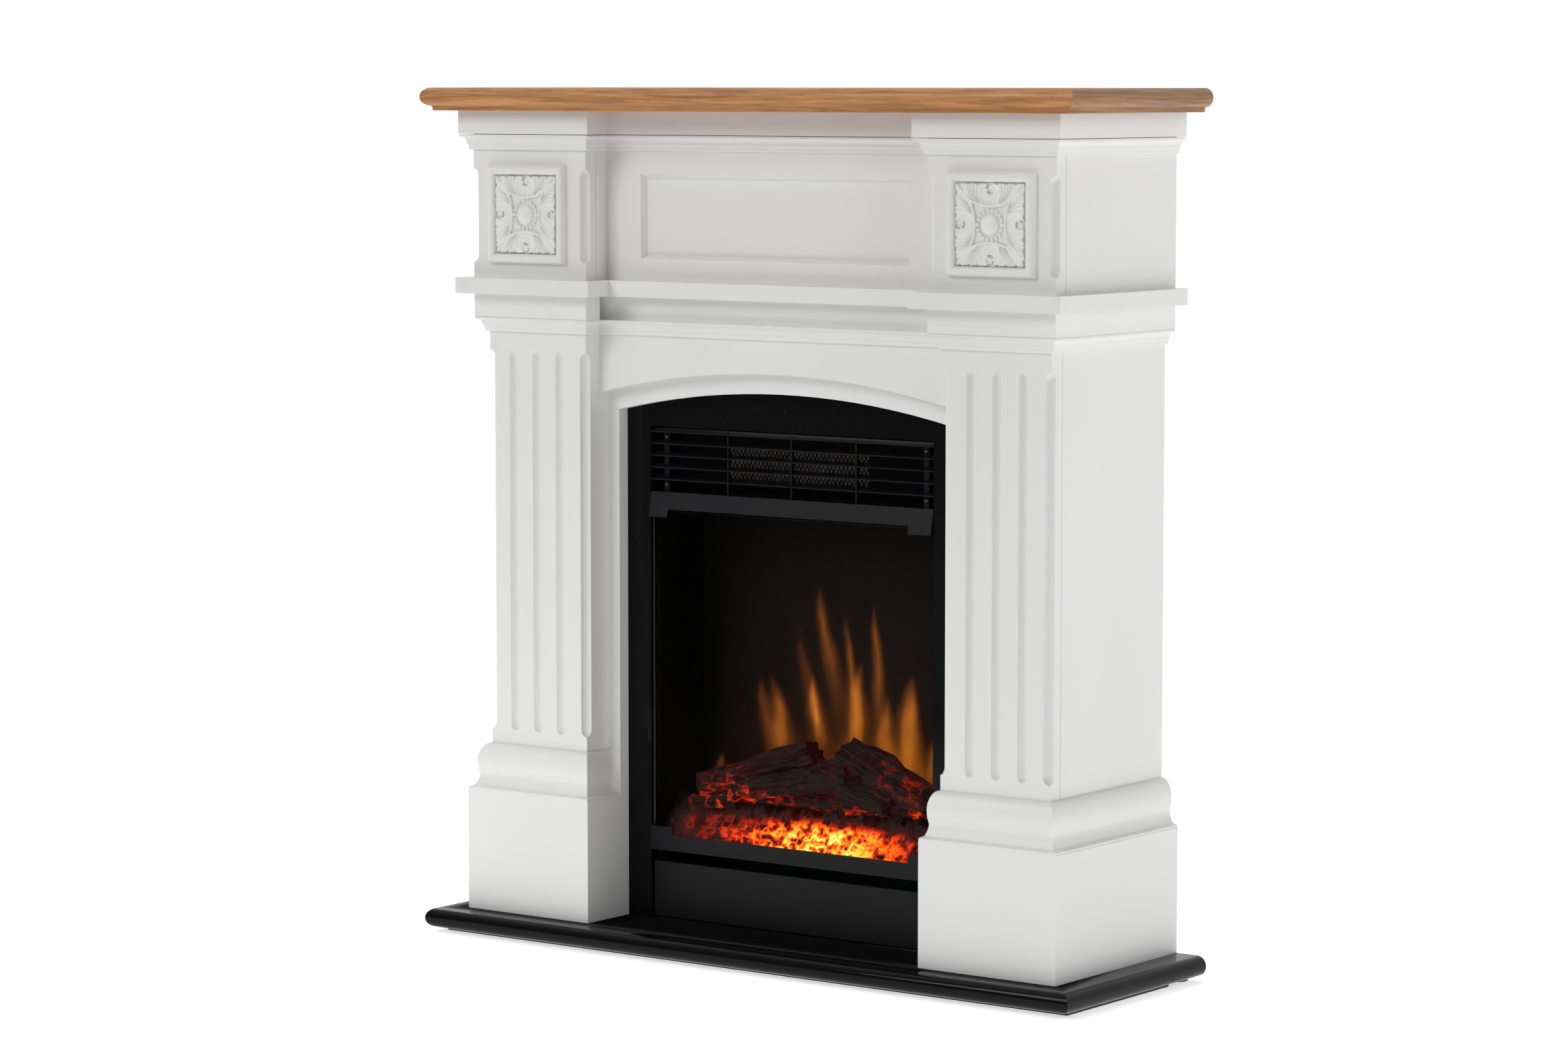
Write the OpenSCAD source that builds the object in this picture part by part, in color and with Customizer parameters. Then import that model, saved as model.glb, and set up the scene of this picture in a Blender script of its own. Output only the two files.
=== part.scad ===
// Freestanding electric fireplace: a painted timber surround with an oak shelf, a gloss hearth and an
// electric firebox insert with a warm air blower and a rotor-driven flame picture.
// Millimetres. The origin is the middle of the footprint on the floor, +Z is up and -Y is the front.

/* [Overall] */
// Width across the shelf and the hearth
overall_w = 984; // [960:4:1000]
// Depth from the front of the hearth to the wall
overall_d = 308; // [304:1:314]
// Height to the top of the shelf
overall_h = 1080; // [1076:1:1090]

/* [Shelf] */
// Thickness of the shelf
shelf_t = 29; // [27:0.5:30]
// Width of the moulded lipping strips
lipping_w = 40; // [30:1:60]

/* [Surround] */
// Middle plane of a pilaster, from the centre of the fireplace
pilaster_x = 350; // [346:1:352]
// Thickness of the side boards
board_t = 18; // [15:1:20]
// Depth of the vertical flutes
flute_depth = 5; // [3:0.5:6]
// Width of the vertical flutes
flute_w = 14; // [10:1:16]
// Radius of the stopped coves on the corners
cove_r = 9; // [6:0.5:11]
// Radius of the arch over the fire opening
arch_r = 1160; // [1000:10:1400]

/* [Hearth] */
// Thickness of the hearth slab
slab_t = 25; // [22:0.5:26]
// Height of the low base under the slab
hearth_base_h = 5; // [4:0.5:8]

/* [Firebox] */
// Half the width of the firebox insert
insert_half_w = 216; // [212:0.5:217]
// Sheet metal thickness
sheet_t = 1.5; // [1:0.1:2]
// Number of louvre slats
slat_count = 5; // [4:1:5]
// Distance from one slat to the next
slat_pitch = 15; // [14:0.5:15]
// Thickness of the front glass
glass_t = 4; // [3:0.5:5]
// Number of blades on the blower drum
fan_blades = 24; // [12:2:30]
// Number of reflector tabs on the flame spindle
rotor_tabs = 13; // [7:2:15]
// Running clearance on each shaft
run_clear = 0.05; // [0.02:0.01:0.08]

/* [Hidden] */
$fn = 48;
eps = 0.01;
reach = 60;                      // how far cutting solids run past what they cut
half_w = overall_w / 2;
back_y = overall_d / 2;
floor_top = hearth_base_h + slab_t;          // top of the hearth
shelf_z = overall_h - shelf_t;
lift = floor_top;                // heights on the surround are counted from the hearth

// Depths of the main faces, from the wall
plinth_d = 270;
leg_d = 249;
capital_d = 262.4;
frieze_d = 221.1;
arch_frame_d = 203.4;
infill_d = 186.5;
infill_t = 12;
leg_front_t = 23;

// Sides of the stacked blocks of a pilaster
plinth_in = pilaster_x - 96.4;
plinth_out = pilaster_x + 100;
leg_in = pilaster_x - 79;
leg_out = pilaster_x + 76.7;
capital_in = pilaster_x - 90.7;
capital_out = pilaster_x + 91.1;

// Heights above the hearth
plinth_top = lift + 154.3;
base_mould_top = lift + 214;
flute_low = lift + 232.5;
flute_high = lift + 718;
neck_z = lift + 741.8;
neck_band_z = lift + 759.9;
ledge_z = lift + 789.9;
capital_z = lift + 810;
cornice_z = lift + 971.7;
fascia_z = lift + 991.8;
arch_side_z = lift + 646.5;

// Firebox heights above the hearth, and depths from the wall
kick_low = lift + 3;
kick_top = lift + 73;
fret_z = lift + 88.5;
fret_top = lift + 118.4;
canopy_z = lift + 512;
canopy_top = lift + 543.5;
insert_top = lift + 625;
face_d = 186;
case_front = 174;
case_back = 20;
fan_y = back_y - 80;
fan_z = lift + 575.1;
fan_in = -118;
fan_out = 104;
fan_r = 25;
spindle_y = back_y - 50;
spindle_z = lift + 172;
spindle_half = 186;
switch_x = 203.5;
switch_pitch = 21;
switch_low_z = lift + 17;
rocker_tilt = 7;

// A box from one corner to the opposite one
module block(low, high) translate(low) cube(high - low);

// A piece of the left side is the mirror image of the right one
module on_side(side) mirror([side < 0 ? 1 : 0, 0, 0]) children();

// A front elevation drawn in X and Z, thickened from depth d towards the wall
module board(d, t) translate([0, back_y - d + t, 0]) rotate([90, 0, 0]) linear_extrude(t) children();

// ---- mouldings: an outline is a list of [how far it stands out, height] from its foot to its top

// Small bed moulding: a leaning foot band, a step, a hollow above it and a square fillet on top
function bed_outline(h, out) = concat(
    [[-eps, 0], [3, 0], [4.6, 0.33 * h], [6.2, 0.36 * h], [6.4, 0.46 * h]],
    [for (t = [15:15:90]) [6.4 + (out - 7.4) * (1 - cos(t)), h * (0.46 + 0.4 * sin(t))]],
    [[out, h * 0.88], [out, h], [-eps, h]]);

// Tall base moulding: a flared foot, a hollow neck and a swelling that runs out to the pilaster
function base_outline() = concat(
    [[-eps, 0], [21, 0], [18.8, 4.1], [15.3, 5.7]],
    [for (t = [15:15:90]) [11.2 + 4.1 * (1 - sin(t)), 5.7 + 14 * t / 90]],
    [for (t = [15:15:90]) [11.2 + 2.3 * sin(t), 19.7 + 16 * t / 90]],
    [for (t = [10:10:90]) [13.5 * cos(t), 35.7 + 24 * sin(t)]],
    [[-eps, 59.7]]);

// A moulding wrapped round the front and both sides of a block, mitred at the corners
module wrapped(x_in, x_out, depth, z, outline, k_in = 1, k_out = 1) difference() {
    intersection() {
        translate([x_in - reach, 0, z]) rotate([90, 0, 90]) linear_extrude(x_out - x_in + 2 * reach)
            polygon(concat([for (p = outline) [back_y - depth - p.x, p.y]],
                [[back_y, outline[len(outline) - 1].y], [back_y, 0]]));
        translate([0, back_y, z]) rotate([90, 0, 0]) linear_extrude(depth + reach)
            polygon(concat([for (p = outline) [x_out + k_out * p.x, p.y]],
                [for (i = [len(outline) - 1:-1:0]) [x_in - k_in * outline[i].x, outline[i].y]]));
    }
    block([x_in, back_y - depth, z - 1], [x_out, back_y + 1, z + reach * 2]);
}

// The corner of space behind the mitre line between a pilaster's return and the middle run
module middle_zone(x_in, depth, z, h) translate([0, 0, z]) linear_extrude(h)
    polygon([[x_in, back_y + 1], [x_in, back_y - depth], [x_in - reach, back_y - depth - reach],
        [-x_in + reach, back_y - depth - reach], [-x_in, back_y - depth], [-x_in, back_y + 1]]);

// The straight run of a moulding across the middle
module middle_run(x_in, depth, z, outline) intersection() {
    translate([-x_in, 0, z]) rotate([90, 0, 90]) linear_extrude(2 * x_in)
        polygon([for (p = outline) [back_y - depth - max(p.x, 0), p.y]]);
    middle_zone(x_in, depth, z - 1, reach * 2);
}

// ---- oak shelf

// Section of the lipping, as [inset from the edge, height]: foot fillet, small hollow and bullnose
function lipping_outline() = concat(
    [[lipping_w, 0], [12, 0], [12, 4.5], [9.5, 5.5]],
    [for (t = [-80:16:80]) [11.5 - 11.5 * cos(t), 17.5 + 11.5 * sin(t)]],
    [[12, shelf_t], [lipping_w, shelf_t]]);

module oak_shelf() color("burlywood")
    block([-half_w + lipping_w, -back_y + lipping_w, shelf_z], [half_w - lipping_w, back_y, overall_h]);

module shelf_front_lipping() color("peru") intersection() {
    translate([-half_w, -back_y, shelf_z]) rotate([90, 0, 90]) linear_extrude(overall_w)
        polygon(lipping_outline());
    translate([0, 0, shelf_z - 1]) linear_extrude(shelf_t + 2) polygon([[-half_w, -back_y],
        [half_w, -back_y], [half_w - lipping_w, lipping_w - back_y], [lipping_w - half_w, lipping_w - back_y]]);
}

module shelf_side_lipping(side) color("peru") on_side(side) intersection() {
    translate([half_w, back_y, shelf_z]) rotate([90, 0, 0]) linear_extrude(overall_d)
        polygon([for (p = lipping_outline()) [-p.x, p.y]]);
    translate([0, 0, shelf_z - 1]) linear_extrude(shelf_t + 2) polygon([[half_w, -back_y],
        [half_w, back_y], [half_w - lipping_w, back_y], [half_w - lipping_w, lipping_w - back_y]]);
}

// ---- upper part of the surround

// Plan of the capitals and the frieze between them, grown outwards by a margin
module upper_plan(out) {
    half = [[capital_in - out, back_y - frieze_d - out], [capital_in - out, back_y - capital_d - out],
        [capital_out + out, back_y - capital_d - out], [capital_out + out, back_y]];
    polygon(concat(half, [for (i = [len(half) - 1:-1:0]) [-half[i].x, half[i].y]]));
}

// A band of a given projection that follows that plan round the front and the ends
module band(out, z, top) translate([0, 0, z]) linear_extrude(top - z) difference() {
    upper_plan(out);
    upper_plan(0);
}

module fascia() color("whitesmoke") band(13.8, fascia_z, shelf_z);

module cornice_side(side) color("white") on_side(side) difference() {
    wrapped(capital_in, capital_out, capital_d, cornice_z, bed_outline(fascia_z - cornice_z, 13));
    middle_zone(capital_in, frieze_d, cornice_z - 1, reach);
}

module cornice_centre() color("white")
    middle_run(capital_in, frieze_d, cornice_z, bed_outline(fascia_z - cornice_z, 13));

// A cove cut into an upright corner, stopped short of both ends with rounded ends
module stopped_cove(x, y, low, high, r) translate([x, y, low]) {
    cylinder(r = r, h = high - low);
    sphere(r);
    translate([0, 0, high - low]) sphere(r);
}

// A fine open seam where the side board meets the front board
seam_w = 0.8;
module seam(x, y, low, high) block([x - 1.2, y, low - 1], [x + 1.2, y + seam_w, high + 1]);

module capital(side) color("whitesmoke") on_side(side) difference() {
    block([capital_in, back_y - capital_d, capital_z], [capital_out, back_y, shelf_z]);
    block([capital_in + board_t, back_y - capital_d + 20, capital_z - 1],
        [capital_out - board_t, back_y + 1, shelf_z + 1]);
    for (x = [capital_in, capital_out]) {
        stopped_cove(x, back_y - capital_d, lift + 830 + cove_r, lift + 948 - cove_r, cove_r);
        seam(x, back_y - capital_d + 20, capital_z, shelf_z);
    }
}

// Square frame with softened edges on the face of a capital
rosette_z = lift + 891;
rosette_out = 62;
rosette_in = 49;
rosette_frame_t = 9;
module rosette_frame(side) color("white") on_side(side) board(capital_d + rosette_frame_t, rosette_frame_t)
    translate([pilaster_x + 1.8, rosette_z]) difference() {
        square(2 * rosette_out, center = true);
        square(2 * rosette_in, center = true);
    }

// Cast rosette: a plate with a beaded boss and four leaf scrolls
module rosette(side) color("gainsboro") on_side(side) translate([pilaster_x + 1.8, back_y - capital_d, rosette_z])
    rotate([90, 0, 0]) {
        translate([0, 0, 1.5]) cube([2 * rosette_in, 2 * rosette_in, 3], center = true);
        translate([0, 0, 3 - eps]) cylinder(r1 = 13, r2 = 7, h = 6);
        for (a = [0:20:340]) rotate(a) translate([17, 0, 3]) sphere(2.6, $fn = 16);
        for (a = [0:90:270]) rotate(a) translate([33, 0, 3 - eps]) cylinder(r1 = 12, r2 = 9, h = 4);
    }

// Frieze with a sunk panel whose edges slope inwards
recess_half_w = 204.5;
recess_low = lift + 838;
recess_high = lift + 943;
recess_depth = 8.5;
recess_slope = 4.5;
module frieze_panel() color("whitesmoke") difference() {
    block([-capital_in, back_y - frieze_d, capital_z], [capital_in, back_y - arch_frame_d, shelf_z]);
    intersection() {
        translate([0, back_y - frieze_d, recess_low - 5]) linear_extrude(recess_high - recess_low + 10)
            polygon([[-recess_half_w - recess_slope, -recess_depth], [recess_half_w + recess_slope, -recess_depth],
                [recess_half_w - recess_slope, recess_depth], [recess_slope - recess_half_w, recess_depth]]);
        translate([-recess_half_w - 5, back_y - frieze_d, 0]) rotate([90, 0, 90])
            linear_extrude(2 * recess_half_w + 10)
            polygon([[-recess_depth, recess_low - recess_slope], [-recess_depth, recess_high + recess_slope],
                [recess_depth, recess_high - recess_slope], [recess_depth, recess_low + recess_slope]]);
    }
}

// Board between the upper and the lower part, cut back behind the opening
module ledge_board() color("whitesmoke") translate([0, 0, ledge_z]) linear_extrude(capital_z - ledge_z)
    difference() {
        upper_plan(17.2);
        translate([-capital_in, back_y - 150]) square([2 * capital_in, 151]);
    }

// ---- pilasters

module neck_moulding_side(side) color("white") on_side(side) difference() {
    union() {
        wrapped(leg_in, leg_out, leg_d, neck_z, bed_outline(neck_band_z - neck_z, 13.4), 0.87, 1.07);
        block([capital_in, back_y - capital_d, neck_band_z - eps], [capital_out, back_y, ledge_z]);
    }
    block([leg_in, back_y - leg_d, neck_z - 1], [leg_out, back_y + 1, ledge_z + 1]);
    translate([0, 0, neck_z - 1]) linear_extrude(neck_band_z - neck_z + 1)
        polygon([[leg_in, back_y + 1], [leg_in, back_y - frieze_d], [leg_in - reach, back_y - frieze_d - reach],
            [leg_in - reach, back_y + 1]]);
    block([0, back_y - frieze_d, neck_z - 1], [leg_in, back_y + 1, ledge_z + 1]);
}

module neck_moulding_centre() color("white")
    middle_run(leg_in, frieze_d, neck_z, bed_outline(neck_band_z - neck_z, 13.4));

flute_r = (flute_w * flute_w / 4 + flute_depth * flute_depth) / (2 * flute_depth);
module pilaster_front(side) color("whitesmoke") on_side(side) difference() {
    block([leg_in, back_y - leg_d, lift], [leg_out, back_y - leg_d + leg_front_t, ledge_z]);
    for (x = [-37.4, 0, 37.4]) stopped_cove(pilaster_x + 0.6 + x, back_y - leg_d - flute_r + flute_depth,
        flute_low + flute_w / 2, flute_high - flute_w / 2, flute_r);
    for (x = [leg_in, leg_out]) stopped_cove(x, back_y - leg_d, flute_low + cove_r, flute_high - cove_r, cove_r);
}

module pilaster_outer(side) color("whitesmoke") on_side(side) difference() {
    block([leg_out - board_t, back_y - leg_d + leg_front_t, lift], [leg_out, back_y, ledge_z]);
    seam(leg_out, back_y - leg_d + leg_front_t - eps, lift, ledge_z);
}

module pilaster_inner(side) color("gainsboro") on_side(side)
    block([leg_in, back_y - leg_d + leg_front_t, lift], [leg_in + board_t, back_y, ledge_z]);

module base_moulding(side) color("white") on_side(side) difference() {
    wrapped(leg_in, leg_out, leg_d, plinth_top, base_outline(), 0.81, 1.08);
    block([0, back_y - arch_frame_d, plinth_top - 1], [leg_in, back_y + 1, plinth_top + reach]);
}

module plinth(side) color("whitesmoke") on_side(side) difference() {
    block([plinth_in, back_y - plinth_d, lift], [plinth_out, back_y, plinth_top]);
    block([leg_in, back_y - leg_d, lift - 1], [leg_out, back_y + 1, plinth_top + 1]);
    block([0, back_y - arch_frame_d, lift - 1], [leg_in + 1, back_y + 1, plinth_top + 1]);
}

// ---- arch and black infill

// Everything below an arch that springs from half_span at height z
module under_arch(half_span, z) intersection() {
    translate([0, z - sqrt(arch_r * arch_r - half_span * half_span)]) circle(arch_r, $fn = 240);
    translate([-half_span - reach, -reach]) square([2 * (half_span + reach), z + 200]);
}

module arch_panel() color("whitesmoke") board(frieze_d, frieze_d - arch_frame_d) difference() {
    translate([-leg_in, arch_side_z]) square([2 * leg_in, ledge_z - arch_side_z]);
    under_arch(leg_in, lift + 668);
}

module arch_frame() color("white") board(arch_frame_d, arch_frame_d - infill_d) difference() {
    translate([-leg_in, lift]) square([2 * leg_in, ledge_z - lift - 40]);
    intersection() {
        under_arch(plinth_in, arch_side_z);
        translate([-plinth_in, -reach]) square([2 * plinth_in, ledge_z]);
    }
}

module infill_top() color("black")
    block([-leg_in, back_y - infill_d, insert_top + 1], [leg_in, back_y - infill_d + infill_t, ledge_z - 40]);

module infill_side(side) color("black") on_side(side)
    block([insert_half_w + 0.8, back_y - infill_d, lift], [leg_in, back_y - infill_d + infill_t, insert_top + 1]);

// ---- hearth

// Slab with a full round edge on the front and both ends, mitred at the corners
module hearth_slab() color("black") intersection() {
    translate([-half_w, 0, hearth_base_h]) rotate([90, 0, 90]) linear_extrude(overall_w) union() {
        translate([slab_t / 2 - back_y, slab_t / 2]) circle(slab_t / 2);
        translate([slab_t / 2 - back_y, 0]) square([overall_d - slab_t / 2, slab_t]);
    }
    translate([0, back_y, hearth_base_h]) rotate([90, 0, 0]) linear_extrude(overall_d) union() {
        for (x = [-1, 1]) translate([x * (half_w - slab_t / 2), slab_t / 2]) circle(slab_t / 2);
        translate([slab_t / 2 - half_w, 0]) square([overall_w - slab_t, slab_t]);
    }
}

hearth_base_half_w = 475;
module hearth_base() color("dimgray")
    block([-hearth_base_half_w, 25.6 - back_y, 0], [hearth_base_half_w, back_y - 58, hearth_base_h]);

module hearth_glides() color("saddlebrown") for (x = [-1, 1])
    translate([x * (hearth_base_half_w - 16), back_y - 17, 0]) cylinder(r = 15, h = hearth_base_h);

// ---- firebox insert

case_half_w = insert_half_w - 2;
deck_z = canopy_top - 2 * sheet_t;
spindle_r = 3;
lug_t = 3;
// Folded steel case: two sides, top, bottom, a deck under the heater and a lug for the spindle
flange_w = 14;
module firebox_case() color("darkslategray") difference() {
    union() {
        for (x = [-case_half_w, case_half_w - sheet_t])
            block([x, back_y - case_front, lift], [x + sheet_t, back_y - case_back, insert_top]);
        for (z = [lift, deck_z, insert_top - sheet_t]) block([-case_half_w, back_y - case_front, z],
            [case_half_w, back_y - case_back, z + sheet_t]);
        for (x = [-case_half_w - flange_w, case_half_w - eps]) block([x, back_y - case_front, lift],
            [x + flange_w + eps, back_y - case_front + sheet_t, insert_top]);
        block([-spindle_half - 4, back_y - 76, lift], [-spindle_half - 4 + lug_t, back_y - 36, spindle_z + 14]);
    }
    translate([-spindle_half - 6, spindle_y, spindle_z]) rotate([0, 90, 0])
        cylinder(r = spindle_r + run_clear, h = lug_t + 4);
}

// Rear cover with a grommeted hole for the supply lead
module firebox_back() color("slategray") difference() {
    union() {
        block([-case_half_w, back_y - case_back, lift], [case_half_w, back_y - case_back + sheet_t, insert_top]);
        translate([-170, back_y - case_back + eps, lift + 60]) rotate([-90, 0, 0]) cylinder(r = 9, h = 9);
    }
    translate([-170, back_y - case_back - 1, lift + 60]) rotate([-90, 0, 0]) cylinder(r = 4, h = 14);
}

// Guard behind the slats: a bulkhead with a window and a grid across it
window_low = lift + 560;
window_high = lift + 607;
guard_d = 161;
module heater_guard() color("dimgray") translate([0, back_y - guard_d, 0]) {
    difference() {
        block([-case_half_w + 2, 0, deck_z + sheet_t], [case_half_w - 2, sheet_t, insert_top - sheet_t]);
        block([fan_in, -1, window_low], [fan_out, sheet_t + 1, window_high]);
    }
    for (i = [1:11]) block([fan_in + 18.5 * i - 0.6, 0, window_low - eps],
        [fan_in + 18.5 * i + 0.6, sheet_t, window_high + eps]);
    for (i = [1:3]) block([fan_in - eps, 0.3, window_low + 11.75 * i - 0.6],
        [fan_out + eps, 1.2, window_low + 11.75 * i + 0.6]);
}

// Slats that fall towards the front, threaded on upright bars, with a bracket at each end
slat_d = 12;
slat_fall = 4;
bracket_x = 199;
bracket_y = back_y - face_d + slat_d - 2;
screw_r = 1.5;
screw_l = 7;
module screw_places() for (x = [-1, 1], z = [lift + 552.5, lift + 612.5])
    translate([x * bracket_x, bracket_y, z]) rotate([90, 0, 0]) children();

module louvre_grille() color("darkslategray") {
    for (i = [0:slat_count - 1]) translate([-insert_half_w, back_y - face_d, canopy_top + slat_pitch * (i + 1)])
        rotate([90, 0, 90]) linear_extrude(2 * insert_half_w)
        polygon([[0, 0], [slat_d, slat_fall], [slat_d, slat_fall + 1.2], [0, 1.5]]);
    for (x = [-98.3, 0, 98.3])
        block([x - 1, back_y - face_d + 4, canopy_top], [x + 1, back_y - face_d + 9, insert_top - 3]);
    difference() {
        for (x = [-1, 1]) block([x * bracket_x - 4, bracket_y, canopy_top],
            [x * bracket_x + 4, back_y - guard_d, insert_top - 3]);
        screw_places() translate([0, 0, -screw_l]) cylinder(r = screw_r, h = screw_l + 1);
    }
}

module grille_screws() color("silver") screw_places() {
    cylinder(r1 = 3.6, r2 = 2.6, h = 2.4);
    translate([0, 0, -screw_l]) cylinder(r = screw_r, h = screw_l + eps);
}

// Heater: a mica frame with upright fins between two rails
module heater_element() color("lightgray") translate([0, back_y - guard_d + sheet_t, 0]) {
    for (z = [window_low - 4, window_high - 2]) block([fan_in + 2, 0, z], [fan_out - 2, 14, z + 4]);
    for (i = [0:17]) block([fan_in + 6 + 12 * i, 2, window_low - 1], [fan_in + 8 + 12 * i, 12, window_high - 1]);
}

// Scroll housing of the blower: a curved wall with a mouth to the front, and two end plates
housing_r = 33;
module fan_housing() color("lightslategray") {
    translate([fan_in, fan_y, fan_z]) rotate([90, 0, 90]) linear_extrude(fan_out - fan_in) difference() {
        union() {
            circle(housing_r);
            translate([-54, 6]) square([54, housing_r - 6]);
            translate([-54, -housing_r]) square([54, 14]);
        }
        circle(housing_r - 1.2);
        translate([-56, 7.2]) square([56, housing_r - 8.4]);
        translate([-56, 1.2 - housing_r]) square([56, 11.6]);
        translate([-56, -housing_r + 1.2]) square([40, 2 * housing_r - 2.4]);
    }
    for (x = [fan_in - 2, fan_out]) difference() {
        translate([x, fan_y, fan_z]) rotate([0, 90, 0]) cylinder(r = housing_r, h = 2);
        translate([x - 1, fan_y, fan_z]) rotate([0, 90, 0]) cylinder(r = 3 + run_clear, h = 4);
    }
}

// Blower drum: blades between discs on a shaft
module fan_impeller() color("gray") translate([fan_in + 2, fan_y, fan_z]) rotate([0, 90, 0]) {
    drum = fan_out - fan_in - 4;
    for (z = [0, drum / 2 - 0.75, drum - 1.5]) translate([0, 0, z]) cylinder(r = fan_r, h = 1.5);
    for (i = [0:fan_blades - 1]) rotate(360 * i / fan_blades) translate([fan_r - 3.4, 0, eps]) rotate(35)
        translate([-2.6, -0.4, 0]) cube([5.2, 0.8, drum - 2 * eps]);
    translate([0, 0, -26]) cylinder(r = 3, h = drum + 34);
}

module fan_motor() color("silver") difference() {
    union() {
        translate([fan_in - 40, fan_y, fan_z]) rotate([0, 90, 0]) cylinder(r = 27, h = 34);
        translate([fan_in - 6.5, fan_y, fan_z]) rotate([0, 90, 0]) cylinder(r = 8, h = 4);
        block([fan_in - 38, fan_y - 12, deck_z + sheet_t], [fan_in - 8, fan_y + 12, fan_z - 20]);
    }
    translate([fan_in - 26, fan_y, fan_z]) rotate([0, 90, 0]) cylinder(r = 3 + run_clear, h = reach);
}

// Hood over the glass: a sloping face with a long notch in its lower edge
hood_lean = 6;
module canopy_trim() color("darkslategray") difference() {
    translate([-insert_half_w, back_y - face_d, 0]) rotate([90, 0, 90]) linear_extrude(2 * insert_half_w)
        polygon([[-hood_lean, canopy_z], [0, canopy_top], [12, canopy_top], [12, canopy_top - sheet_t],
            [sheet_t, canopy_top - sheet_t], [sheet_t - hood_lean, canopy_z]]);
    block([-187, back_y - face_d - 10, canopy_z - 1], [182, back_y - face_d + 5, canopy_z + 10]);
}

module glass_pane() color("lightblue", 0.3)
    block([-insert_half_w, back_y - face_d + 2, fret_z + sheet_t], [insert_half_w, back_y - face_d + 2 + glass_t, canopy_z + 7]);

// Lower fret: raised ends and a long notch, folded back under the glass
fret_y = back_y - face_d - 3;
module lower_fret() color("darkslategray") difference() {
    union() {
        block([-insert_half_w, fret_y, fret_z], [insert_half_w, fret_y + sheet_t, fret_top]);
        block([-insert_half_w, fret_y, fret_z], [insert_half_w, back_y - case_front, fret_z + sheet_t]);
    }
    block([-182, fret_y - 1, fret_top - 9.5], [182, fret_y + 3, fret_top + 1]);
}

kick_y = back_y - face_d + 2.5;
rocker_w = 13;
rocker_h = 18;
module switch_centres() for (i = [0:2]) translate([switch_x, kick_y, switch_low_z + i * switch_pitch]) children();

// Kick panel with three small switch openings at its right end
module kick_panel() color("darkslategray") difference() {
    union() {
        block([-case_half_w, kick_y, kick_low], [case_half_w, kick_y + sheet_t, kick_top]);
        block([-case_half_w, kick_y, kick_top - sheet_t], [case_half_w, back_y - case_front, kick_top]);
    }
    switch_centres() cube([rocker_w + 2, 20, rocker_h + 1.4], center = true);
}

// Switch housing: a frame for three rockers with a pivot hole through its cheeks
pin_r = 1.2;
module switch_housing() color("dimgray") difference() {
    translate([switch_x, kick_y + sheet_t + 7, switch_low_z + switch_pitch])
        cube([rocker_w + 4, 14, 3 * switch_pitch + 1], center = true);
    switch_centres() {
        translate([0, 5.5, 0]) cube([rocker_w + 0.6, 14, rocker_h + 0.8], center = true);
        translate([-reach / 2, 6, 0]) rotate([0, 90, 0]) cylinder(r = pin_r + run_clear, h = reach, $fn = 24);
    }
}

// Rocker resting in its off position: a shallow V face on a barrel with two pivot pins
module rocker(index) color("black") translate([switch_x, kick_y + 6, switch_low_z + index * switch_pitch]) {
    rotate([rocker_tilt, 0, 0]) translate([-rocker_w / 2, 0, 0]) rotate([90, 0, 90]) linear_extrude(rocker_w)
        polygon([[-7, -8], [-5.2, 0], [-7, 8], [1.5, 4.5], [2.5, 0], [1.5, -4.5]]);
    translate([-rocker_w / 2 - 2, 0, 0]) rotate([0, 90, 0]) cylinder(r = pin_r, h = rocker_w + 4, $fn = 24);
}

// ---- fire bed and flame picture

bed_front = 171;
bed_rear = 96;
bed_half_w = case_half_w - sheet_t;
// Moulded fuel bed: a bank that rises from the fret to the flame screen
module ember_bed() color("orangered") translate([-bed_half_w, back_y, lift]) rotate([90, 0, 90])
    linear_extrude(2 * bed_half_w) polygon([[-bed_front, 92], [-bed_front, 110], [-bed_front + 14, 126],
        [-bed_front + 34, 148], [-bed_rear, 156], [-bed_rear, 92]]);

// A log is a round bar from one end point to the other, given from the middle of the bed
module log(start, end, r) {
    d = end - start;
    translate(start) rotate([0, acos(d.z / norm(d)), atan2(d.y, d.x)]) cylinder(r = r, h = norm(d));
}

module log_set() color("saddlebrown") difference() {
    translate([0, back_y - 128, lift]) {
        log([-176, -4, 158], [0, 4, 222], 23);
        log([56, 6, 226], [182, -2, 160], 22);
        log([-60, -12, 152], [52, -14, 176], 17);
    }
    ember_bed();
}

module flame_screen() color("darkorange")
    block([-bed_half_w, back_y - 82, lift + 130], [bed_half_w, back_y - 79, deck_z]);

// Spindle with bent reflector tabs that sweep light over the back of the screen
module flame_spindle() color("silver") translate([0, spindle_y, spindle_z]) {
    translate([-spindle_half - 8, 0, 0]) rotate([0, 90, 0]) cylinder(r = spindle_r, h = 2 * spindle_half + 10);
    for (i = [0:rotor_tabs - 1]) translate([(i - (rotor_tabs - 1) / 2) * 27, 0, 0]) rotate([i * 70, 0, 0])
        rotate([0, 0, 25]) translate([-9, -0.5, -17]) cube([18, 1, 34]);
}

module spindle_motor() color("gainsboro") difference() {
    union() {
        translate([spindle_half - 4, spindle_y, spindle_z]) rotate([0, 90, 0]) cylinder(r = 22, h = 16);
        block([spindle_half - 4, spindle_y - 14, lift + sheet_t], [spindle_half - 1, spindle_y + 14, spindle_z - 15]);
    }
    translate([spindle_half - 5, spindle_y, spindle_z]) rotate([0, 90, 0]) cylinder(r = spindle_r + run_clear, h = 12);
}

module led_board() color("seagreen") {
    block([-180, back_y - 74, lift + sheet_t], [180, back_y - 72.4, lift + 140]);
    for (i = [-8:8]) block([i * 20 - 2.5, back_y - 72.4 - eps, lift + 126], [i * 20 + 2.5, back_y - 70.4, lift + 131]);
}

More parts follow.
